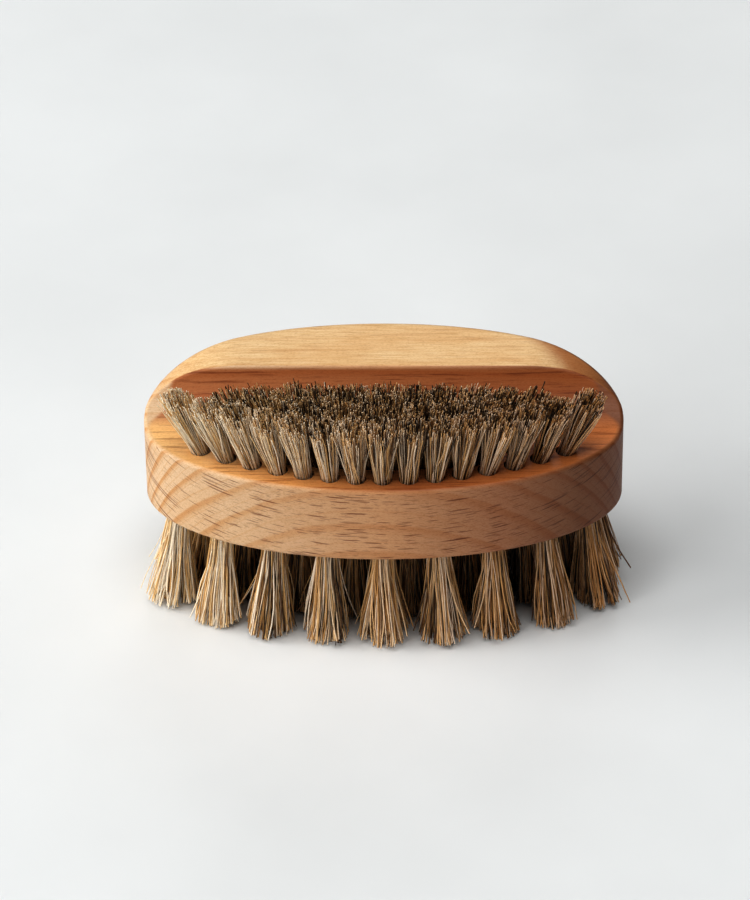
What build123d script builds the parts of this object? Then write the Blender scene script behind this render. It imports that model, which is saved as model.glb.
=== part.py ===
"""Two-sided beard brush: an oval beech block with long tufts below and short tufts above.

The brush stands on its long tufts. +X runs along the block, +Y points to the grip at the
back and +Z is up. Z = 0 is the plane of the long tufts' trimmed tips.
"""

import os
from math import acos, degrees, sqrt

from build123d import *

# Wooden block: an upright oval with a ledge at the front and a raised grip at the back
BLOCK_LENGTH = 100.0
BLOCK_WIDTH = 48.0
BLOCK_HEIGHT = 27.5
LEDGE_HEIGHT = 18.0
GRIP_FRONT_Y = 7.2
COVE_RADIUS = 15.0
GRIP_FLAT_LENGTH = 60.0
END_DROP_LENGTH = 22.5
END_DROP_HEIGHT = 13.0
GRIP_EDGE_RADIUS = 2.2
LEDGE_EDGE_RADIUS = 0.8
LOWER_EDGE_RADIUS = 1.0

# Long tufts under the block: an oval ring, an inner ring and a centre line
LONG_TUFT_HEIGHT = 24.5
LONG_HOLE_DIAMETER = 5.2
LONG_HOLE_DEPTH = 9.0
RING_SIZE = (89.0, 37.0)
RING_COUNT = 18
RING_TIP_RADIUS = 4.6
INNER_RING_SIZE = (66.0, 18.0)
INNER_RING_COUNT = 12
CENTRE_LINE_X = (-36.0, -22.0, -11.0, 0.0, 11.0, 22.0, 36.0)
INNER_TIP_RADIUS = 3.9
LONG_SPLAY = 0.055

# Short tufts on the ledge: a curved front row, a middle row and a rear row
SHORT_TUFT_HEIGHT = 15.0
SHORT_HOLE_DIAMETER = 4.1
SHORT_HOLE_DEPTH = 6.0
SHORT_TIP_RADIUS = 2.2
SHORT_PITCH = 5.4
FRONT_ROW = {"count": 15, "y": -19.75, "curve": 71.0, "splay": 0.12, "lean": 1.5, "end_lean": 0.0}
MIDDLE_ROW = {"count": 8, "y": -14.45, "curve": 112.0, "splay": 0.12, "lean": 1.5, "end_lean": 0.0}
REAR_ROW = {"count": 11, "y": -9.2, "curve": 9000.0, "splay": 0.165, "lean": 0.9, "end_lean": 1.4}

# A tuft's folded end and the flat-wire anchor that holds it
HOLE_CLEARANCE = 0.1
FOLD_HEIGHT = 1.0
ANCHOR_HEIGHT = 2.4
ANCHOR_THICKNESS = 0.4
ANCHOR_CLEARANCE = 0.05

# Extra reach of cutting shapes past the surface they cut
OVERRUN = 5.0
HOLE_OVERRUN = 1.0

UNDERSIDE_Z = LONG_TUFT_HEIGHT
LEDGE_Z = UNDERSIDE_Z + LEDGE_HEIGHT
GRIP_TOP_Z = UNDERSIDE_Z + BLOCK_HEIGHT
SHORT_TIP_Z = LEDGE_Z + SHORT_TUFT_HEIGHT

os.makedirs("parts", exist_ok=True)


def write_part(part, name):
    """Label one finished piece and write it to the file of the same name."""
    part.label = name
    export_step(part, f"parts/{name}.step")


def ring_points(size, count, first):
    """Evenly spaced points on an oval, counted from its front, first a share of one pitch."""
    oval = Edge.make_ellipse(size[0] / 2, size[1] / 2, start_angle=-90, end_angle=270)
    return [oval @ ((k + first) / count) for k in range(count)]


def long_tuft_planes(points):
    """Planes at the mouths of the holes below, z along each tuft towards its tip."""
    planes = []
    for point in points:
        mouth = Vector(point.X, point.Y, UNDERSIDE_Z)
        tip = Vector(point.X * (1 + LONG_SPLAY), point.Y, 0)
        planes.append(Plane(origin=mouth, x_dir=(1, 0, 0), z_dir=tip - mouth))
    return planes


def short_tuft_planes(row):
    """Planes at the mouths of one row's holes above, z along each tuft towards its tip."""
    planes = []
    end_x = SHORT_PITCH * (row["count"] - 1) / 2
    for k in range(row["count"]):
        x = SHORT_PITCH * k - end_x
        y = row["y"] + x**2 / (2 * row["curve"])
        lean = row["lean"] + row["end_lean"] * (x / end_x) ** 4
        mouth = Vector(x, y, LEDGE_Z)
        tip = Vector(x * (1 + row["splay"]), y - lean, SHORT_TIP_Z)
        planes.append(Plane(origin=mouth, x_dir=(1, 0, 0), z_dir=tip - mouth))
    return planes


def build_tufts(name, planes, hole, length, tip_radius, trim):
    """Folded bundles of hair: a round root in its hole, then a flare that is trimmed flat."""
    hole_diameter, hole_depth = hole
    root_radius = hole_diameter / 2 - HOLE_CLEARANCE
    untrimmed = 1.1
    end_radius = root_radius + (tip_radius - root_radius) * untrimmed
    with BuildPart() as tufts:
        for plane in planes:
            with BuildSketch(plane.offset(-hole_depth)):
                Circle(root_radius)
            extrude(amount=hole_depth)
            with BuildSketch(plane):
                Circle(root_radius)
            with BuildSketch(plane.offset(length * untrimmed)):
                Circle(end_radius)
            loft()
            # The slot in the root where the hair is folded around its anchor
            with BuildSketch(plane.offset(FOLD_HEIGHT - hole_depth)):
                Rectangle(2 * hole_diameter, ANCHOR_THICKNESS)
            extrude(amount=ANCHOR_HEIGHT + ANCHOR_CLEARANCE, mode=Mode.SUBTRACT)
        split(bisect_by=trim, keep=Keep.BOTTOM)
    write_part(tufts.part, name)


def build_anchors(name, planes, hole):
    """Short pieces of flat wire, one across each hole, standing on the folded hair."""
    hole_diameter, hole_depth = hole
    with BuildPart() as anchors:
        for plane in planes:
            with BuildSketch(plane.offset(FOLD_HEIGHT - hole_depth)):
                Rectangle(hole_diameter - 2 * ANCHOR_CLEARANCE, ANCHOR_THICKNESS)
            extrude(amount=ANCHOR_HEIGHT)
    write_part(anchors.part, name)


long_hole = (LONG_HOLE_DIAMETER, LONG_HOLE_DEPTH)
short_hole = (SHORT_HOLE_DIAMETER, SHORT_HOLE_DEPTH)

centre_line = [Vector(x, 0) for x in CENTRE_LINE_X]
ring_planes = long_tuft_planes(ring_points(RING_SIZE, RING_COUNT, 0))
inner_planes = long_tuft_planes(ring_points(INNER_RING_SIZE, INNER_RING_COUNT, 0.5))
centre_planes = long_tuft_planes(centre_line)
long_planes = ring_planes + inner_planes + centre_planes

front_planes = short_tuft_planes(FRONT_ROW)
middle_planes = short_tuft_planes(MIDDLE_ROW)
rear_planes = short_tuft_planes(REAR_ROW)
short_planes = front_planes + middle_planes + rear_planes

# Trimming planes, each with its z pointing away from the brush
floor_plane = Plane(origin=(0, 0, 0), z_dir=(0, 0, -1))
top_plane = Plane.XY.offset(SHORT_TIP_Z)

# The block starts as an upright oval column.
with BuildPart() as handle_block:
    with BuildSketch(Plane.XY.offset(UNDERSIDE_Z)):
        Ellipse(BLOCK_LENGTH / 2, BLOCK_WIDTH / 2)
    extrude(amount=BLOCK_HEIGHT)

    # The grip's top is flat in the middle and falls in an elliptic curve to each end.
    flat_end = GRIP_FLAT_LENGTH / 2
    over_top = GRIP_TOP_Z + OVERRUN
    past_end = BLOCK_LENGTH / 2 + OVERRUN
    with BuildSketch(Plane.XZ.offset(-BLOCK_WIDTH)):
        with BuildLine():
            drop = EllipticalCenterArc(
                (flat_end, GRIP_TOP_Z - END_DROP_HEIGHT), END_DROP_LENGTH, END_DROP_HEIGHT, arc_size=90
            )
            Polyline(drop @ 1, (flat_end, over_top), (past_end, over_top), (past_end, (drop @ 0).Y), drop @ 0)
        make_face()
        mirror(about=Plane.YZ)
    extrude(amount=2 * BLOCK_WIDTH, mode=Mode.SUBTRACT)

    # The whole top outline is rounded over.
    above_ledge = handle_block.edges().filter_by_position(Axis.Z, LEDGE_Z, over_top)
    fillet(above_ledge.filter_by(GeomType.LINE, reverse=True), GRIP_EDGE_RADIUS)

    # The ledge is cut away in front of the grip, and a hollow cove sweeps up from it to the lip.
    cove_height = GRIP_TOP_Z - LEDGE_Z
    cove_foot = (GRIP_FRONT_Y - sqrt(2 * COVE_RADIUS * cove_height - cove_height**2), LEDGE_Z)
    with BuildSketch(Plane.YZ.offset(-BLOCK_LENGTH)):
        with BuildLine():
            Line((-BLOCK_WIDTH, LEDGE_Z), cove_foot)
            cove = JernArc(cove_foot, (1, 0), COVE_RADIUS, degrees(acos(1 - cove_height / COVE_RADIUS)))
            Polyline(cove @ 1, (GRIP_FRONT_Y, over_top), (-BLOCK_WIDTH, over_top), (-BLOCK_WIDTH, LEDGE_Z))
        make_face()
    extrude(amount=2 * BLOCK_LENGTH, mode=Mode.SUBTRACT)

    # The lower edge is eased, and so is the edge that runs round the ledge and along the grip.
    fillet(handle_block.edges().group_by(Axis.Z)[0], LOWER_EDGE_RADIUS)
    ledge_edges = handle_block.edges().filter_by_position(Axis.Z, LEDGE_Z - 0.01, LEDGE_Z + 0.01)
    fillet(ledge_edges.sort_by(Axis.Y)[0], LEDGE_EDGE_RADIUS)

    # Blind holes for the tufts, each along its own tuft
    for planes, diameter, depth in ((long_planes, *long_hole), (short_planes, *short_hole)):
        for plane in planes:
            with Locations(plane.offset(HOLE_OVERRUN)):
                Hole(diameter / 2, depth + HOLE_OVERRUN)
write_part(handle_block.part, "handle_block")

for k, plane in enumerate(ring_planes, start=1):
    build_tufts(f"long_ring_tuft_{k:02d}", [plane], long_hole, LONG_TUFT_HEIGHT, RING_TIP_RADIUS, floor_plane)
for k, plane in enumerate(inner_planes, start=1):
    build_tufts(f"long_inner_tuft_{k:02d}", [plane], long_hole, LONG_TUFT_HEIGHT, INNER_TIP_RADIUS, floor_plane)
for k, plane in enumerate(centre_planes, start=1):
    build_tufts(f"long_centre_tuft_{k}", [plane], long_hole, LONG_TUFT_HEIGHT, INNER_TIP_RADIUS, floor_plane)

for k, plane in enumerate(front_planes, start=1):
    build_tufts(f"short_front_tuft_{k:02d}", [plane], short_hole, SHORT_TUFT_HEIGHT, SHORT_TIP_RADIUS, top_plane)
build_tufts("short_middle_tufts", middle_planes, short_hole, SHORT_TUFT_HEIGHT, SHORT_TIP_RADIUS, top_plane)
build_tufts("short_rear_tufts", rear_planes, short_hole, SHORT_TUFT_HEIGHT, SHORT_TIP_RADIUS, top_plane)

build_anchors("long_anchors", long_planes, long_hole)
build_anchors("short_anchors", short_planes, short_hole)
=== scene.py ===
"""Looks of the two-sided beard brush: beech grain, folded horsehair tufts, studio and camera.

Everything is in metres in the row frame: +X along the block, +Y towards the grip, +Z up, and
Z = 0 at the tips of the long tufts. The tufts' places are read from their CAD solids.
"""

import bpy
import numpy as np
from math import cos, pi, radians, sin
from mathutils import Matrix, Vector


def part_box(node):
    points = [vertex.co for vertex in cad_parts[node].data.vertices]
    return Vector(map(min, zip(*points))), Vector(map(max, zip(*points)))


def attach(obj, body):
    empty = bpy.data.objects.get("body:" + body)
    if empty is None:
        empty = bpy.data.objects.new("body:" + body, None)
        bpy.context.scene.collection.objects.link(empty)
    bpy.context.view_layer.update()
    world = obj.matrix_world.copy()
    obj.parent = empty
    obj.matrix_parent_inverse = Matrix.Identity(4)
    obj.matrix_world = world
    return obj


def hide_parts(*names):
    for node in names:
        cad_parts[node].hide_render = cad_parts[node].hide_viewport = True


MM = 0.001
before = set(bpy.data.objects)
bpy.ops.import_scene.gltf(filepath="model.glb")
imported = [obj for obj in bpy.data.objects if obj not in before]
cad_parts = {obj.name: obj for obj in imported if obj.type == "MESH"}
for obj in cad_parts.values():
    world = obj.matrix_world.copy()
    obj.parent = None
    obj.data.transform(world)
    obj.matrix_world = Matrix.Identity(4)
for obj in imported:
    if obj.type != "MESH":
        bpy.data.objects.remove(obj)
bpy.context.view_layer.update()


# Camera: fitted to the oval outline, looking down at the brush's front

CAMERA_ELEVATION = radians(36.5)
CAMERA_YAW = radians(-1.208)
CAMERA_ROLL = radians(-0.669)
CAMERA_DISTANCE = 1.0
AIM = (-1.875 * MM, 8.793 * MM)
FOCAL_PIXELS = 4742.8
FRAME_PIXELS = 900
SENSOR_MM = 36.0


def make_camera():
    """A long lens aimed at the wood's underside, with its aim point given across and up the view."""
    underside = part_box("handle_block")[0].z
    ahead = Vector((sin(CAMERA_YAW), cos(CAMERA_YAW), 0))
    up = Vector((0, 0, 1))
    across = Vector((cos(CAMERA_YAW), -sin(CAMERA_YAW), 0))
    forward = ahead * cos(CAMERA_ELEVATION) - up * sin(CAMERA_ELEVATION)
    rise = ahead * sin(CAMERA_ELEVATION) + up * cos(CAMERA_ELEVATION)
    place = across * AIM[0] + rise * AIM[1] - forward * CAMERA_DISTANCE + up * underside
    right = across * cos(CAMERA_ROLL) + rise * sin(CAMERA_ROLL)
    top = rise * cos(CAMERA_ROLL) - across * sin(CAMERA_ROLL)
    data = bpy.data.cameras.new("camera")
    data.sensor_width = SENSOR_MM
    data.lens = FOCAL_PIXELS * SENSOR_MM / FRAME_PIXELS
    data.clip_end = 20
    camera = bpy.data.objects.new("camera", data)
    turn = Matrix((right, top, -forward)).transposed()
    camera.matrix_world = Matrix.Translation(place) @ turn.to_4x4()
    bpy.context.scene.collection.objects.link(camera)
    bpy.context.scene.camera = camera


# Studio: a pale floor, large soft lights at the left and above, and almost nothing from the right

WORLD_STRENGTH = 0.03
DISPLAY_GAMMA = 0.8
FLOOR_REACH = 6.0
LIGHT_AIM = Vector((0, 0, 0.03))
LIGHTS = [
    # name, place in metres, diameter in metres, watts
    ("key_left", (-1.8, 0, 1.26), 1.26, 22.5),
    ("key_front_left", (-1.53, -1.35, 1.26), 1.26, 20.0),
    ("low_left", (-2.16, -0.36, 0.45), 0.9, 16.5),
    ("top", (0, -0.45, 2.3), 1.44, 31.0),
    ("back", (0.18, 1.98, 1.44), 1.26, 8.0),
]


def make_area_light(name, place, size, watts):
    """A white disk aimed at the middle of the brush."""
    data = bpy.data.lights.new(name, "AREA")
    data.shape = "DISK"
    data.size = size
    data.energy = watts
    light = bpy.data.objects.new(name, data)
    light.location = place
    light.rotation_euler = (LIGHT_AIM - Vector(place)).to_track_quat("-Z", "Y").to_euler()
    bpy.context.scene.collection.objects.link(light)


def make_studio():
    """World, display, lights and floor."""
    world = bpy.data.worlds.new("surround")
    world.use_nodes = True
    background = world.node_tree.nodes["Background"]
    background.inputs["Color"].default_value = (1.0, 0.995, 0.985, 1)
    background.inputs["Strength"].default_value = WORLD_STRENGTH
    bpy.context.scene.world = world
    bpy.context.scene.view_settings.view_transform = "Standard"
    bpy.context.scene.view_settings.gamma = DISPLAY_GAMMA
    for light in LIGHTS:
        make_area_light(*light)

    floor_mesh = bpy.data.meshes.new("floor")
    corners = [(x * FLOOR_REACH, y * FLOOR_REACH, 0) for x, y in ((-1, -1), (1, -1), (1, 1), (-1, 1))]
    floor_mesh.from_pydata(corners, [], [(0, 1, 2, 3)])
    floor = bpy.data.objects.new("floor", floor_mesh)
    bpy.context.scene.collection.objects.link(floor)
    floor_mesh.materials.append(floor_material())


# Node trees

class Tree:
    """Adds shader nodes with their inputs set or linked in one call."""

    def __init__(self, name):
        self.material = bpy.data.materials.new(name)
        self.material.use_nodes = True
        self.nodes = self.material.node_tree.nodes
        self.links = self.material.node_tree.links
        self.nodes.clear()

    def add(self, kind, inputs=None, **settings):
        """A node of the given kind, its inputs linked to sockets or set to values."""
        node = self.nodes.new(kind)
        for key, value in settings.items():
            setattr(node, key, value)
        for key, value in (inputs or {}).items():
            if isinstance(value, bpy.types.NodeSocket):
                self.links.new(value, node.inputs[key])
            else:
                node.inputs[key].default_value = value
        return node

    def math(self, operation, a, b=0.0):
        return self.add("ShaderNodeMath", {0: a, 1: b}, operation=operation).outputs[0]

    def vector(self, operation, a, b):
        return self.add("ShaderNodeVectorMath", {0: a, 1: b}, operation=operation)

    def spread(self, value, low, high, to_low=0.0, to_high=1.0, smooth=True):
        """Maps low..high to to_low..to_high, clamped."""
        inputs = {"Value": value, "From Min": low, "From Max": high, "To Min": to_low, "To Max": to_high}
        kind = "SMOOTHSTEP" if smooth else "LINEAR"
        return self.add("ShaderNodeMapRange", inputs, interpolation_type=kind).outputs["Result"]

    def mix(self, factor, a, b, blend="MIX"):
        node = self.add("ShaderNodeMix", data_type="RGBA", blend_type=blend)
        for socket, value in ((node.inputs[0], factor), (node.inputs[6], a), (node.inputs[7], b)):
            if isinstance(value, bpy.types.NodeSocket):
                self.links.new(value, socket)
            else:
                socket.default_value = value
        return node.outputs[2]

    def split(self, vector):
        """The X, Y and Z of a vector, by name."""
        return self.add("ShaderNodeSeparateXYZ", {0: vector}).outputs

    def ramp(self, value, stops):
        """A colour for a value, straight between stops of (place, colour)."""
        node = self.add("ShaderNodeValToRGB", {"Fac": value})
        elements = node.color_ramp.elements
        while len(elements) < len(stops):
            elements.new(1.0)
        for element, (place, colour) in zip(elements, stops):
            element.position = place
            element.color = colour
        return node.outputs["Color"]

    def noise(self, vector, scale, detail=2.0, roughness=0.5):
        inputs = {"Vector": vector, "Scale": scale, "Detail": detail, "Roughness": roughness}
        return self.add("ShaderNodeTexNoise", inputs).outputs["Fac"]

    def finish(self, shader):
        """Links the shader to the surface and gives back the material."""
        self.add("ShaderNodeOutputMaterial", {"Surface": shader.outputs["BSDF"]})
        return self.material


def srgb(red, green, blue):
    """A colour written as 0 to 255 display values, as linear numbers."""
    values = []
    for part in (red, green, blue):
        share = part / 255
        values.append(share / 12.92 if share <= 0.04045 else ((share + 0.055) / 1.055) ** 2.4)
    return (*values, 1.0)


def floor_material():
    """A nearly white matt floor with faint clouds."""
    tree = Tree("pale_floor")
    place = tree.add("ShaderNodeTexCoord").outputs["Object"]
    cloud = tree.noise(place, 14.0, 4.0)
    colour = tree.ramp(cloud, [(0.35, srgb(226, 228, 228)), (0.65, srgb(231, 233, 233))])
    inputs = {"Base Color": colour, "Roughness": 0.85, "Specular IOR Level": 0.2}
    return tree.finish(tree.add("ShaderNodeBsdfPrincipled", inputs))


# Wood: lengths in millimetres, in the block's own place

HALF_LENGTH = 50.0
HALF_DEPTH = 24.0
LEDGE_LEVEL = 42.5
GRIP_LEVEL = 52.0
RING_NORMAL = (0, 0.902, 0.431)
RING_TANGENT = (0, -0.431, 0.902)
RING_PITCH = 3.4
THIN_RING_PITCH = 1.13
RAY_LAYERS = [
    # size along X, through the rings and along them, share of cells, seed, strength
    (10.0, 40.0, 0.6, 0.38, 3.7, 1.0),
    (8.0, 34.0, 0.48, 0.42, 11.3, 1.0),
    (6.0, 28.0, 0.42, 0.44, 31.4, 1.0),
    (4.5, 20.0, 0.34, 0.48, 17.1, 0.8),
    (2.2, 12.0, 0.26, 0.5, 23.9, 0.55),
]


def beech_material():
    """Solid beech: rings in planes whose normal leans up from +Y, rays running along that normal."""
    tree = Tree("oiled_beech")
    metres = tree.add("ShaderNodeTexCoord").outputs["Object"]
    millimetres = tree.vector("MULTIPLY", metres, (1 / MM, 1 / MM, 1 / MM)).outputs[0]
    axes = tree.split(millimetres)
    along, height = axes["X"], axes["Z"]
    # Share of the way from the middle to the oval's outline; the large number leaves Z out
    oval = tree.vector("DIVIDE", millimetres, (HALF_LENGTH, HALF_DEPTH, 1e6)).outputs[0]
    reach = tree.vector("LENGTH", oval, (0, 0, 0)).outputs["Value"]
    through = tree.vector("DOT_PRODUCT", millimetres, RING_NORMAL).outputs["Value"]
    tangent = tree.vector("DOT_PRODUCT", millimetres, RING_TANGENT).outputs["Value"]
    normal = tree.add("ShaderNodeTexCoord").outputs["Normal"]
    facing = tree.split(normal)
    upward = tree.spread(facing["Z"], 0.78, 0.97)
    flat_cut = tree.vector("DOT_PRODUCT", normal, RING_TANGENT).outputs["Value"]
    flat_cut = tree.math("ABSOLUTE", flat_cut)

    def stretched(x_mm, through_mm, tangent_mm):
        """Coordinates in which a feature of the given three lengths is one unit across."""
        inputs = {
            0: tree.math("DIVIDE", along, x_mm),
            1: tree.math("DIVIDE", through, through_mm),
            2: tree.math("DIVIDE", tangent, tangent_mm),
        }
        return tree.add("ShaderNodeCombineXYZ", inputs).outputs[0]

    # Growth rings: uneven spacing, a crisp late edge, a soft early side and a thin line between
    drift = tree.noise(stretched(120, 11, 80), 1.0, 1.0)
    wander = tree.noise(stretched(9, 2.5, 6), 1.0, 3.0)
    shifted = tree.math("ADD", through, tree.math("MULTIPLY", drift, 6.0))
    shifted = tree.math("ADD", shifted, tree.math("MULTIPLY", wander, 0.45))
    year = tree.math("FRACT", tree.math("DIVIDE", shifted, RING_PITCH))
    late = tree.math("MULTIPLY", tree.spread(year, 0.6, 0.86), tree.spread(year, 0.92, 1.0, 1.0, 0.0))
    thin = tree.math("FRACT", tree.math("DIVIDE", shifted, THIN_RING_PITCH))
    thin = tree.math("MULTIPLY", tree.spread(thin, 0.74, 0.88), tree.spread(thin, 0.9, 0.98, 1.0, 0.0))
    late = tree.math("MAXIMUM", late, tree.math("MULTIPLY", thin, 0.45))

    # Medullary rays: thin plates that show as dark dashes wherever the surface cuts across them
    def rays(x_mm, through_mm, tangent_mm, share, seed):
        """Spindles in a chosen share of cells of the given size, each of its own strength."""
        cells = tree.vector("ADD", stretched(x_mm, through_mm, tangent_mm), (seed, seed, seed)).outputs[0]
        voronoi = tree.add("ShaderNodeTexVoronoi", {"Vector": cells, "Scale": 1.0}, feature="F1")
        chance = tree.split(voronoi.outputs["Color"])
        size = tree.spread(chance["Y"], 0.0, 1.0, 0.16, 0.4, smooth=False)
        edge = tree.math("SUBTRACT", size, voronoi.outputs["Distance"])
        inside = tree.spread(edge, 0.0, 0.12)
        inside = tree.math("MULTIPLY", inside, tree.math("LESS_THAN", chance["X"], share))
        return tree.math("MULTIPLY", inside, tree.spread(chance["Z"], 0.0, 1.0, 0.45, 1.0, smooth=False))

    ray = 0.0
    for *layer, strength in RAY_LAYERS:
        ray = tree.math("MAXIMUM", ray, tree.math("MULTIPLY", rays(*layer), strength))
    ray = tree.math("MULTIPLY", ray, tree.spread(flat_cut, 0.55, 0.8, 1.0, 0.12))

    fibre = tree.noise(stretched(6.0, 0.2, 0.2), 1.0, 3.0, 0.6)
    streak = tree.noise(stretched(16.0, 0.8, 0.8), 1.0, 3.0, 0.65)
    pores = tree.noise(stretched(0.6, 0.16, 0.16), 1.0, 2.0, 0.7)
    patch = tree.noise(stretched(30, 8, 8), 1.0, 2.0)

    # Painted light and shade: paler towards -X, where the lights stand, browner towards +X, which lies in
    # shade
    painted_shade_share = tree.spread(along, -HALF_LENGTH, HALF_LENGTH, smooth=False)
    colour = tree.ramp(
        painted_shade_share,
        [
            (0.0, srgb(218, 190, 156)),
            (0.2, srgb(222, 190, 154)),
            (0.5, srgb(214, 167, 126)),
            (0.75, srgb(178, 126, 92)),
            (0.9, srgb(142, 96, 66)),
            (1.0, srgb(142, 92, 64)),
        ],
    )
    colour = tree.mix(tree.spread(patch, 0.35, 0.7, 0.0, 0.3), colour, (0.9, 0.8, 0.66, 1), "MULTIPLY")

    # Painted light: the grip's upward faces get a pale straw colour for the light and sheen on the top,
    # and its shoulder at +X, turned away from the lights, a painted shade brown
    painted_lit_top = tree.ramp(fibre, [(0.3, srgb(240, 212, 168)), (0.7, srgb(228, 194, 144))])
    painted_lit_top = tree.mix(tree.spread(streak, 0.42, 0.75, 0.0, 0.6), painted_lit_top, srgb(216, 172, 120))
    painted_lit_top = tree.mix(tree.spread(patch, 0.4, 0.7, 0.0, 0.5), painted_lit_top, srgb(222, 178, 124))
    painted_shade_shoulder = tree.spread(tree.math("MULTIPLY", along, reach), 25.5, 35.0)
    painted_lit_top = tree.mix(painted_shade_shoulder, painted_lit_top, srgb(186, 127, 76))
    on_grip = tree.spread(height, LEDGE_LEVEL + 1.5, LEDGE_LEVEL + 4.5)
    colour = tree.mix(tree.math("MULTIPLY", upward, on_grip), colour, painted_lit_top)

    # Painted shade under the tufts: the ledge is oranger than the outside and the hollow behind it, which
    # the tufts shade, a deep red-brown; both change along X too
    painted_shade_ledge = tree.ramp(
        painted_shade_share,
        [
            (0.0, srgb(246, 204, 140)),
            (0.3, srgb(224, 162, 96)),
            (0.55, srgb(172, 100, 50)),
            (1.0, srgb(224, 144, 82)),
        ],
    )
    painted_shade_cove = tree.mix(painted_shade_share, srgb(176, 108, 60), srgb(160, 94, 50))
    inside = tree.mix(tree.spread(height, LEDGE_LEVEL + 0.1, LEDGE_LEVEL + 2.1), painted_shade_ledge, painted_shade_cove)
    shaded_hollow = tree.spread(height, LEDGE_LEVEL - 0.75, LEDGE_LEVEL - 0.25)
    below_top = tree.spread(height, GRIP_LEVEL - 1.0, GRIP_LEVEL - 0.2, 1.0, 0.0)
    shaded_hollow = tree.math("MULTIPLY", shaded_hollow, below_top)
    edge = tree.spread(height, LEDGE_LEVEL + 0.5, LEDGE_LEVEL + 2.5, 1.0, 0.93)
    within = tree.spread(tree.math("DIVIDE", reach, edge), 0.97, 1.0, 1.0, 0.0)
    shaded_hollow = tree.math("MULTIPLY", shaded_hollow, within)
    forward = tree.spread(facing["Y"], -0.35, -0.12, 1.0, 0.0)
    low = tree.spread(height, LEDGE_LEVEL + 2.0, LEDGE_LEVEL + 4.0, 1.0, 0.0)
    shaded_hollow = tree.math("MULTIPLY", shaded_hollow, tree.math("MAXIMUM", forward, low))
    # Painted shade laid over the ledge and the hollow behind it
    colour = tree.mix(tree.math("MULTIPLY", shaded_hollow, 0.92), colour, inside)

    # Grain, pores, rings and rays darken what lies under them
    colour = tree.mix(tree.spread(fibre, 0.42, 0.72, 0.0, 0.4), colour, (0.82, 0.7, 0.55, 1), "MULTIPLY")
    grooves = tree.spread(streak, 0.52, 0.68, 0.0, 1.0)
    grooves = tree.math("MULTIPLY", grooves, tree.math("ADD", tree.math("MULTIPLY", shaded_hollow, 0.7), 0.15))
    colour = tree.mix(grooves, colour, (0.55, 0.42, 0.34, 1), "MULTIPLY")
    colour = tree.mix(tree.spread(pores, 0.48, 0.72, 0.0, 0.75), colour, (0.74, 0.62, 0.5, 1), "MULTIPLY")
    across = tree.math("ABSOLUTE", facing["X"])
    bands = tree.math("MULTIPLY", late, tree.spread(across, 0.1, 0.8, 0.45, 0.95))
    bands = tree.math("MULTIPLY", bands, tree.spread(upward, 0.0, 1.0, 1.0, 0.25))
    colour = tree.mix(bands, colour, (0.84, 0.62, 0.38, 1), "MULTIPLY")
    colour = tree.mix(tree.math("MULTIPLY", ray, 0.92), colour, (0.3, 0.15, 0.09, 1), "MULTIPLY")

    rough = tree.spread(fibre, 0.3, 0.7, 0.42, 0.56)
    relief = tree.math("SUBTRACT", tree.math("MULTIPLY", fibre, 0.5), tree.math("MULTIPLY", ray, 0.15))
    relief = tree.math("SUBTRACT", relief, tree.math("MULTIPLY", pores, 0.35))
    bump = tree.add("ShaderNodeBump", {"Height": relief, "Strength": 0.25, "Distance": 0.06 * MM})
    inputs = {
        "Base Color": colour,
        "Roughness": rough,
        "Specular IOR Level": 0.28,
        "Normal": bump.outputs[0],
    }
    return tree.finish(tree.add("ShaderNodeBsdfPrincipled", inputs))


# Hair and wire: the outermost tufts' place along X, and what "along" holds on the cut ends

OUTER_TUFT_X = 45 * MM
CUT_END_MARK = 1.5


def hair_material(name, stops, root_shade):
    """Horsehair: a tone for each hair, painted shade at the root, faint streaks, painted shade towards +X.

    Cut ends get painted shade for the dark between the packed tips, but for those of the palest hairs.
    """
    tree = Tree(name)
    tone = tree.add("ShaderNodeAttribute", attribute_name="tone").outputs["Fac"]
    along = tree.add("ShaderNodeAttribute", attribute_name="along").outputs["Fac"]
    place = tree.add("ShaderNodeTexCoord").outputs["Object"]
    colour = tree.ramp(tone, stops)
    streak = tree.noise(place, 900.0, 2.0)
    colour = tree.mix(tree.spread(streak, 0.45, 0.7, 0.0, 0.2), colour, srgb(176, 138, 92))
    # Painted shade: darker towards the root, where the hairs crowd into the hole
    colour = tree.mix(tree.spread(along, 0.0, 0.5, root_shade, 0.0), colour, srgb(96, 70, 46))
    # Painted shade on the cut ends, left off the palest hairs so that they show as pale specks
    cut_end_shade = tree.spread(along, 1.0, CUT_END_MARK, 0.0, 0.7)
    cut_end_shade = tree.math("MULTIPLY", cut_end_shade, tree.spread(tone, 0.6, 0.8, 1.0, 0.0))
    colour = tree.mix(cut_end_shade, colour, srgb(60, 44, 32))
    # Painted shade: browner towards +X, away from the lights
    painted_shade_share = tree.spread(tree.split(place)["X"], -OUTER_TUFT_X, OUTER_TUFT_X, smooth=False)
    colour = tree.mix(painted_shade_share, colour, (0.76, 0.61, 0.53, 1), "MULTIPLY")
    rough = tree.spread(streak, 0.3, 0.7, 0.28, 0.42)
    bump = tree.add("ShaderNodeBump", {"Height": streak, "Strength": 0.2, "Distance": 0.02 * MM})
    inputs = {
        "Base Color": colour,
        "Roughness": rough,
        "Specular IOR Level": 0.6,
        "Specular Tint": (1.0, 0.86, 0.68, 1),
        "Normal": bump.outputs[0],
    }
    return tree.finish(tree.add("ShaderNodeBsdfPrincipled", inputs))


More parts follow.
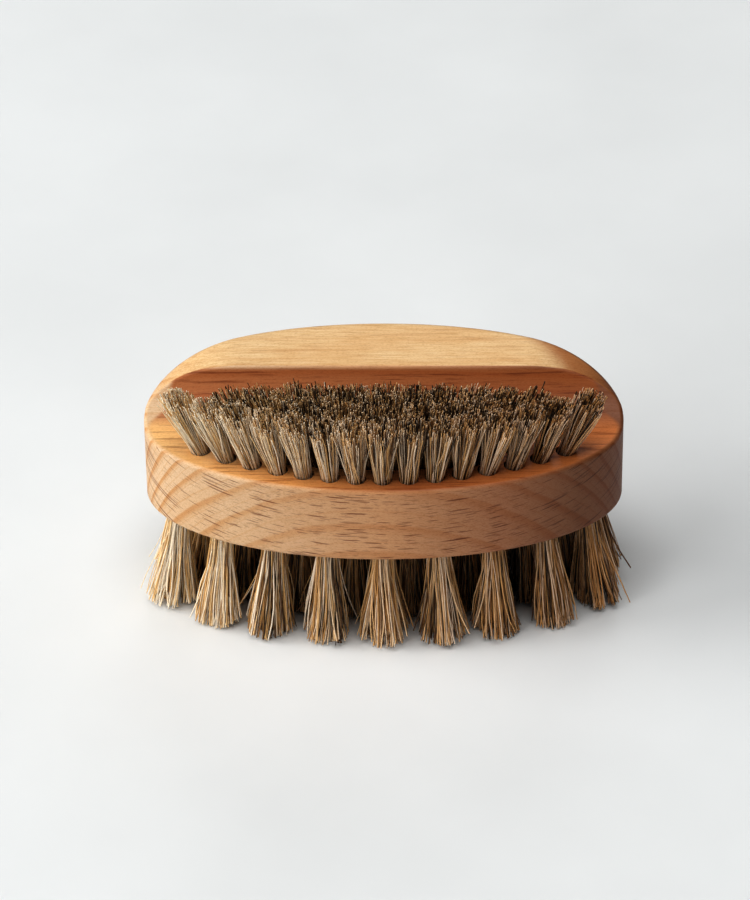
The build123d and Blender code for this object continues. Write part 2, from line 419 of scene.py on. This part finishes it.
def wire_material():
    """Flat steel wire with fine drawing marks along its length."""
    tree = Tree("flat_steel_wire")
    place = tree.add("ShaderNodeTexCoord").outputs["Object"]
    drawn = tree.vector("MULTIPLY", place, (400.0, 9000.0, 9000.0)).outputs[0]
    marks = tree.noise(drawn, 1.0, 3.0)
    colour = tree.ramp(marks, [(0.3, srgb(150, 150, 148)), (0.7, srgb(196, 196, 192))])
    rough = tree.spread(marks, 0.3, 0.7, 0.28, 0.45)
    bump = tree.add("ShaderNodeBump", {"Height": marks, "Strength": 0.15, "Distance": 0.02 * MM})
    inputs = {"Base Color": colour, "Metallic": 1.0, "Roughness": rough, "Normal": bump.outputs[0]}
    return tree.finish(tree.add("ShaderNodeBsdfPrincipled", inputs))


# Hair: every tuft is a bundle of hairs folded in half round its anchor
#
# count          hairs in a tuft, each folded into two halves
# thickness      least and most diameter of a hair
# root_radius    of the bundle in its hole
# tip_radius     of the bundle at its tips, as a multiple of the CAD tuft's
# flare          power by which the bundle widens from mouth to tip
# trim           least and most that a hair is shorter than the CAD tuft
# rim_trim       further shortening towards the bundle's rim
# front_trim     further shortening towards -Y
# front_lean     how far the tips lean out towards -Y
# bow            spread of the sideways bow of a hair
# clumps         clumps that the hairs of a tuft gather into
# clumping       most share of the way that a tip moves to its clump's middle
# stray          share of hairs that leave the bundle
# tone           darkest and palest tone before the shifts; tones end up within 0 to 1
# tone_places    places along X in millimetres, between which the painted light shift is in proportion
# painted_light_shifts  painted light and shade added to the tone at each of those places, paler towards
# the lights at -X
# painted_core_shade  painted shade: how much darker the middle of the bundle is

LONG_HAIR = {
    "count": 140,
    "thickness": (0.17 * MM, 0.36 * MM),
    "root_radius": 2.35 * MM,
    "tip_radius": 1.17,
    "flare": 1.65,
    "trim": (0.0 * MM, 1.3 * MM),
    "rim_trim": 1.3 * MM,
    "front_trim": 0.0,
    "front_lean": 0.0,
    "bow": 0.65 * MM,
    "clumps": 15,
    "clumping": 0.6,
    "stray": 0.08,
    "tone": (0.12, 1.2),
    "tone_places": (-45, -28, 10, 45),
    "painted_light_shifts": (0.46, 0.12, 0.02, -0.16),
    "painted_core_shade": 0.6,
}
# Painted shade: the long tufts inside the outer ring have darker tones, for the shade among the tufts
INNER_LONG_HAIR = {
    **LONG_HAIR,
    "tone": (-0.1, 0.8),
    "painted_light_shifts": (0.1, 0.0, -0.05, 0.0),
}
SHORT_HAIR = {
    "count": 118,
    "thickness": (0.15 * MM, 0.3 * MM),
    "root_radius": 1.85 * MM,
    "tip_radius": 1.5,
    "flare": 1.05,
    "trim": (0.0 * MM, 0.45 * MM),
    "rim_trim": 0.3 * MM,
    "front_trim": 1.2 * MM,
    "front_lean": 1.0 * MM,
    "bow": 0.3 * MM,
    "clumps": 12,
    "clumping": 0.2,
    "stray": 0.1,
    "tone": (0.08, 1.56),
    "tone_places": (-45, -20, 10, 45),
    "painted_light_shifts": (0.4, 0.2, -0.02, -0.12),
    "painted_core_shade": 0.85,
}
# Painted shade: the short tufts behind the front row have darker tones; their shape differs as well
INNER_SHORT_HAIR = {
    **SHORT_HAIR,
    "tip_radius": 1.75,
    "trim": (0.0 * MM, 0.3 * MM),
    "rim_trim": 0.1 * MM,
    "front_trim": 0.0,
    "front_lean": 0.0,
    "stray": 0.2,
    "tone": (-0.25, 1.15),
    "painted_light_shifts": (0.02, 0.0, 0.0, -0.07),
    "painted_core_shade": 0.4,
}
LONG_TONES = [
    (0.00, srgb(38, 24, 15)),
    (0.12, srgb(112, 76, 44)),
    (0.26, srgb(202, 156, 94)),
    (0.50, srgb(242, 204, 142)),
    (0.74, srgb(255, 228, 184)),
    (0.86, srgb(255, 238, 210)),
    (1.00, srgb(255, 244, 224)),
]
SHORT_TONES = [
    (0.00, srgb(34, 23, 16)),
    (0.13, srgb(104, 72, 44)),
    (0.27, srgb(204, 160, 100)),
    (0.50, srgb(244, 208, 146)),
    (0.74, srgb(255, 230, 186)),
    (1.00, srgb(255, 244, 222)),
]
CELL_MAP = "OFBake"
FREE_STEPS = 6
SIDES = 4
TIP_TAPER = 0.82
ANCHOR_HALF = 0.27 * MM
FOLD_HEIGHT = 0.9 * MM
ROOT_FILL = 0.97
INNER_SHARE = 0.42
# Depths within which a CAD tuft's vertices count as its tip or its root
TIP_RING_DEPTH = 0.05 * MM
ROOT_RING_DEPTH = 2.0 * MM
# Scatter as a share of the bundle's radius, at its root or at its tips
HALF_SCATTER = 0.06
TIP_SCATTER = 0.1
STRAY_SCATTER = 0.28
CLUMP_DRIFT = 0.09
CLUMP_SHADE = 0.1
STRAY_BOW = 1.5
RIPPLE_SHARE = 0.25
# Hairs further out than these shares of the tip radius are trimmed and leaned no further
FRONT_LIMIT = 1.2
RIM_LIMIT = 1.3


def islands(mesh):
    """The vertex places of each separate shell of a mesh, with vertices at one place taken as one."""
    places = np.empty(len(mesh.vertices) * 3)
    mesh.vertices.foreach_get("co", places)
    places, same = np.unique(np.round(places.reshape(-1, 3), 7), axis=0, return_inverse=True)
    edges = np.empty(len(mesh.edges) * 2, int)
    mesh.edges.foreach_get("vertices", edges)
    edges = same.ravel()[edges.reshape(-1, 2)]
    owner = np.arange(len(places))
    while True:
        before = owner.copy()
        low = np.minimum(owner[edges[:, 0]], owner[edges[:, 1]])
        np.minimum.at(owner, edges[:, 0], low)
        np.minimum.at(owner, edges[:, 1], low)
        owner = owner[owner]
        if (owner == before).all():
            break
    return [places[owner == one] for one in np.unique(owner)]


def ledge_height():
    """Height of the ledge: the level at the block's front that holds the most upward area."""
    area_at = {}
    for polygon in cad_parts["handle_block"].data.polygons:
        if polygon.normal.z > 0.999 and polygon.center.y < 0:
            level = round(polygon.center.z, 5)
            area_at[level] = area_at.get(level, 0) + polygon.area
    return max(area_at, key=area_at.get)


def tuft_axes(node):
    """(root, mouth, tip, tip radius) of each tuft in a CAD node, the root being deepest in the wood."""
    points_down = node.startswith("long")
    mouth_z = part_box("handle_block")[0].z if points_down else LEDGE
    found = []
    for places in islands(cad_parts[node].data):
        low, high = places[:, 2].min(), places[:, 2].max()
        tip_z, root_z = (low, high) if points_down else (high, low)
        tip_ring = places[abs(places[:, 2] - tip_z) < TIP_RING_DEPTH]
        tip = (tip_ring.min(0) + tip_ring.max(0)) / 2
        root_ring = places[abs(places[:, 2] - root_z) < ROOT_RING_DEPTH]
        root = (root_ring.min(0) + root_ring.max(0)) / 2
        root[2] = root_z
        mouth = root + (tip - root) * (mouth_z - root_z) / (tip_z - root_z)
        found.append((root, mouth, tip, np.ptp(tip_ring[:, 1]) / 2))
    return found


def disc_points(random, count, radius):
    """Points spread evenly over a disc."""
    reach = radius * np.sqrt(random.random(count))
    turn = random.random(count) * 2 * pi
    return np.stack([reach * np.cos(turn), reach * np.sin(turn)], 1)


def free_lengths(random, start, clump, drift, spec, tip_radius):
    """Sideways offsets of hairs from their tuft's axis, for each step from mouth to tip."""
    count = len(start)
    end = start * tip_radius / spec["root_radius"]
    end += random.normal(0, TIP_SCATTER * tip_radius, (count, 2))
    middles = np.stack([end[clump == one].mean(0) for one in clump])
    end += (middles - end) * spec["clumping"] * random.random((count, 1)) + drift[clump]
    stray = random.random(count) < spec["stray"]
    end[stray] += random.normal(0, STRAY_SCATTER * tip_radius, (stray.sum(), 2))
    end[:, 1] -= spec["front_lean"] * np.clip(-end[:, 1] / tip_radius, 0, FRONT_LIMIT)
    steps = np.linspace(0, 1, FREE_STEPS + 1)[None, :, None]
    bow = random.normal(0, spec["bow"], (count, 1, 2))
    bow *= np.where(stray, STRAY_BOW, 1.0)[:, None, None]
    ripple = random.normal(0, spec["bow"] * RIPPLE_SHARE, (count, 1, 2))
    sway = bow * np.sin(steps * pi) * steps + ripple * np.sin(steps * 2 * pi)
    return start[:, None] + (end - start)[:, None] * steps ** spec["flare"] + sway


def hair_paths(random, tuft, spec):
    """Centre lines of one tuft's hairs from tip to tip round the anchor, and the tone of each hair."""
    root, mouth, tip, cad_radius = tuft
    count = spec["count"]
    radius = spec["root_radius"]
    tip_radius = spec["tip_radius"] * cad_radius
    up = np.sign(tip[2] - mouth[2])
    depth = abs(root[2] - mouth[2])
    centres = disc_points(random, spec["clumps"], radius)
    drift = random.normal(0, CLUMP_DRIFT * tip_radius, (spec["clumps"], 2))
    fill = radius * ROOT_FILL
    first = disc_points(random, count, fill)
    first[:, 1] = np.abs(first[:, 1])
    steps = np.linspace(0, 1, FREE_STEPS + 1)
    centre = mouth[None, None, :2] + (tip - mouth)[None, None, :2] * steps[None, :, None]
    halves = []
    for side in (1, -1):
        start = first * (1, side) + random.normal(0, HALF_SCATTER * radius, (count, 2))
        start *= np.minimum(1, fill / np.linalg.norm(start, axis=1, keepdims=True))
        clump = np.linalg.norm(start[:, None] - centres[None], axis=2).argmin(1)
        offset = free_lengths(random, start, clump, drift, spec, tip_radius)
        out = np.linalg.norm(offset[:, -1], axis=1) / tip_radius
        low, high = spec["trim"]
        trim = low + (high - low) * random.random(count) ** 2
        trim += spec["rim_trim"] * np.minimum(out, RIM_LIMIT) ** 4
        trim += spec["front_trim"] * np.clip(-offset[:, -1, 1] / tip_radius, 0, FRONT_LIMIT)
        heights = mouth[2] + (tip[2] - up * trim - mouth[2])[:, None] * steps[None]
        free = np.concatenate([centre + offset, heights[:, :, None]], 2)
        # Beside the anchor each half of the fold keeps to its own side
        beside = start.copy()
        beside[:, 1] = side * (ANCHOR_HALF + np.abs(start[:, 1]) * (1 - ANCHOR_HALF / radius))
        beside *= np.minimum(1, fill / np.linalg.norm(beside, axis=1, keepdims=True))
        inner = []
        for share in (INNER_SHARE, 1 - FOLD_HEIGHT / depth):
            level = mouth + (root - mouth) * share
            inner.append(np.concatenate([level[:2] + beside, np.full((count, 1), level[2])], 1))
        halves.append((free, inner, beside))
        if side == 1:
            dark, pale = spec["tone"]
            shade = random.normal(0, CLUMP_SHADE, spec["clumps"])
            depth_share = 1 - np.linalg.norm(start, axis=1) / radius
            tone = dark + (pale - dark) * random.random(count) + shade[clump]
            # Painted shade deep in the bundle, and painted light and shade along X
            tone -= spec["painted_core_shade"] * depth_share
            tone += np.interp(tip[0] / MM, spec["tone_places"], spec["painted_light_shifts"])
    (free_a, inner_a, beside_a), (free_b, inner_b, beside_b) = halves
    fold_depth = FOLD_HEIGHT * (0.25 + 0.65 * np.abs(beside_a[:, 1]) / radius)
    floor_level = mouth + (root - mouth) * (1 - FOLD_HEIGHT / depth)
    fold = np.empty((count, 3))
    fold[:, :2] = floor_level[:2] + (beside_a + beside_b) / 2
    fold[:, 2] = floor_level[2] - up * fold_depth
    rings = [free_a[:, k] for k in range(FREE_STEPS, -1, -1)] + inner_a + [fold]
    rings += inner_b[::-1] + [free_b[:, k] for k in range(FREE_STEPS + 1)]
    return np.stack(rings, 1), np.clip(tone, 0, 1)


def sweep(paths, radii):
    """Square tubes along the paths: vertex places by hair, by ring along it and by side round it."""
    count, rings, _ = paths.shape
    tangent = np.gradient(paths, axis=1)
    tangent /= np.linalg.norm(tangent, axis=2, keepdims=True)
    side = np.cross(tangent[:, 0], (0.3, 0.9, 0.1))
    tubes = np.empty((count, rings, SIDES, 3))
    for k in range(rings):
        side -= (side * tangent[:, k]).sum(1, keepdims=True) * tangent[:, k]
        side /= np.linalg.norm(side, axis=1, keepdims=True)
        other = np.cross(tangent[:, k], side)
        for j in range(SIDES):
            turn = 2 * pi * j / SIDES
            ring = side * cos(turn) + other * sin(turn)
            tubes[:, k, j] = paths[:, k] + ring * radii[:, k, None]
    return tubes


def tube_faces(count, rings):
    """Quads of all tubes, then the two end quads of each, whose corners are vertices of their own."""
    first = np.arange(count)[:, None, None] * rings * SIDES
    ring = np.arange(rings - 1)[None, :, None] * SIDES
    j = np.arange(SIDES)[None, None, :]
    following = (j + 1) % SIDES
    base = first + ring
    walls = np.stack([base + j, base + following, base + following + SIDES, base + j + SIDES], 3)
    ends = count * rings * SIDES + np.arange(count * 2 * SIDES).reshape(count, 2, SIDES)
    ends[:, 0] = ends[:, 0, ::-1]
    return walls.reshape(-1, 4), ends.reshape(-1, 4)


def cell_map(count, rings):
    """A square cell of the map for each hair: length up the cell, girth across it, ends in its corners."""
    across = int(np.ceil(np.sqrt(count)))
    corner = np.stack([np.arange(count) % across, np.arange(count) // across], 1)
    margin, end_size = 0.08, 0.06
    j = np.arange(SIDES)
    wall = np.empty((count, rings - 1, SIDES, 4, 2))
    for k in range(rings - 1):
        for corner_index, (dj, dk) in enumerate(((0, 0), (1, 0), (1, 1), (0, 1))):
            u = margin + (1 - 2 * margin) * (j + dj) / SIDES
            v = margin + end_size + (1 - 2 * margin - 2 * end_size) * (k + dk) / (rings - 1)
            wall[:, k, :, corner_index, 0] = corner[:, None, 0] + u
            wall[:, k, :, corner_index, 1] = corner[:, None, 1] + v
    end = np.empty((count, 2, 4, 2))
    for index, low in enumerate((margin / 2, 1 - margin / 2 - end_size)):
        for corner_index, (du, dv) in enumerate(((0, 0), (1, 0), (1, 1), (0, 1))):
            end[:, index, corner_index, 0] = corner[:, 0] + margin + (1 - 2 * margin) * du
            end[:, index, corner_index, 1] = corner[:, 1] + low + end_size * dv
    return np.concatenate([wall.reshape(-1, 2), end.reshape(-1, 2)]) / across


def grow_hair(node, spec, material, seed):
    """One mesh with all the hairs of a CAD node's tufts, in that node's place."""
    random = np.random.default_rng(seed)
    grown = [hair_paths(random, tuft, spec) for tuft in tuft_axes(node)]
    paths = np.concatenate([one[0] for one in grown])
    tone = np.concatenate([one[1] for one in grown])
    count, rings, _ = paths.shape
    low, high = spec["thickness"]
    thick = low + (high - low) * random.random((count, 1))
    taper = np.ones(rings)
    taper[: FREE_STEPS + 1] = np.linspace(TIP_TAPER, 1, FREE_STEPS + 1)
    taper[-FREE_STEPS - 1 :] = np.linspace(1, TIP_TAPER, FREE_STEPS + 1)
    tubes = sweep(paths, thick / 2 * taper[None])
    ends = np.stack([tubes[:, 0], tubes[:, -1]], 1)
    places = np.concatenate([tubes.reshape(-1, 3), ends.reshape(-1, 3)])
    walls, caps = tube_faces(count, rings)
    faces = np.concatenate([walls, caps])

    mesh = bpy.data.meshes.new("hair_" + node)
    mesh.vertices.add(len(places))
    mesh.vertices.foreach_set("co", places.astype(np.float32).ravel())
    mesh.loops.add(faces.size)
    mesh.loops.foreach_set("vertex_index", faces.astype(np.int32).ravel())
    mesh.polygons.add(len(faces))
    mesh.polygons.foreach_set("loop_start", np.arange(0, faces.size, 4, dtype=np.int32))
    smooth = np.ones(len(faces), bool)
    smooth[len(walls) :] = False
    mesh.polygons.foreach_set("use_smooth", smooth)
    mesh.uv_layers.new(name=CELL_MAP)
    mesh.uv_layers[CELL_MAP].data.foreach_set("uv", cell_map(count, rings).astype(np.float32).ravel())

    # How far up its free length each ring is, from 0 inside the hole to 1 at the tip
    from_middle = np.abs(np.linspace(-1, 1, rings)) * rings / 2
    reach = np.clip(from_middle - (rings / 2 - FREE_STEPS - 0.5), 0, None)
    reach = np.tile(np.repeat(reach / reach.max(), SIDES), count)
    per_vertex = {
        "tone": np.concatenate([np.repeat(tone, rings * SIDES), np.repeat(tone, 2 * SIDES)]),
        "along": np.concatenate([reach, np.full(count * 2 * SIDES, CUT_END_MARK)]),
    }
    for name, values in per_vertex.items():
        attribute = mesh.attributes.new(name, "FLOAT", "POINT")
        attribute.data.foreach_set("value", values.astype(np.float32))
    mesh.materials.append(material)
    mesh.update(calc_edges=True)
    mesh.validate()

    piece = bpy.data.objects.new("hair_" + node, mesh)
    bpy.context.scene.collection.objects.link(piece)
    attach(piece, "root")
    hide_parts(node)


def make_hair():
    """Hair for every tuft node; the tufts inside the outer ones get darker tones, a painted shade."""
    long_material = hair_material("long_horsehair", LONG_TONES, 0.1)
    short_material = hair_material("short_horsehair", SHORT_TONES, 0.25)
    for seed, node in enumerate(sorted(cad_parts), start=1):
        if node.startswith("long_") and not node.endswith("anchors"):
            spec = LONG_HAIR if node.startswith("long_ring") else INNER_LONG_HAIR
            grow_hair(node, spec, long_material, seed)
        elif node.startswith("short_") and not node.endswith("anchors"):
            spec = SHORT_HAIR if node.startswith("short_front") else INNER_SHORT_HAIR
            grow_hair(node, spec, short_material, seed)


def dress(node, material):
    """Gives a carried-over CAD node its material."""
    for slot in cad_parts[node].material_slots:
        slot.material = material


LEDGE = ledge_height()
make_camera()
make_studio()
dress("handle_block", beech_material())
wire = wire_material()
dress("long_anchors", wire)
dress("short_anchors", wire)
make_hair()
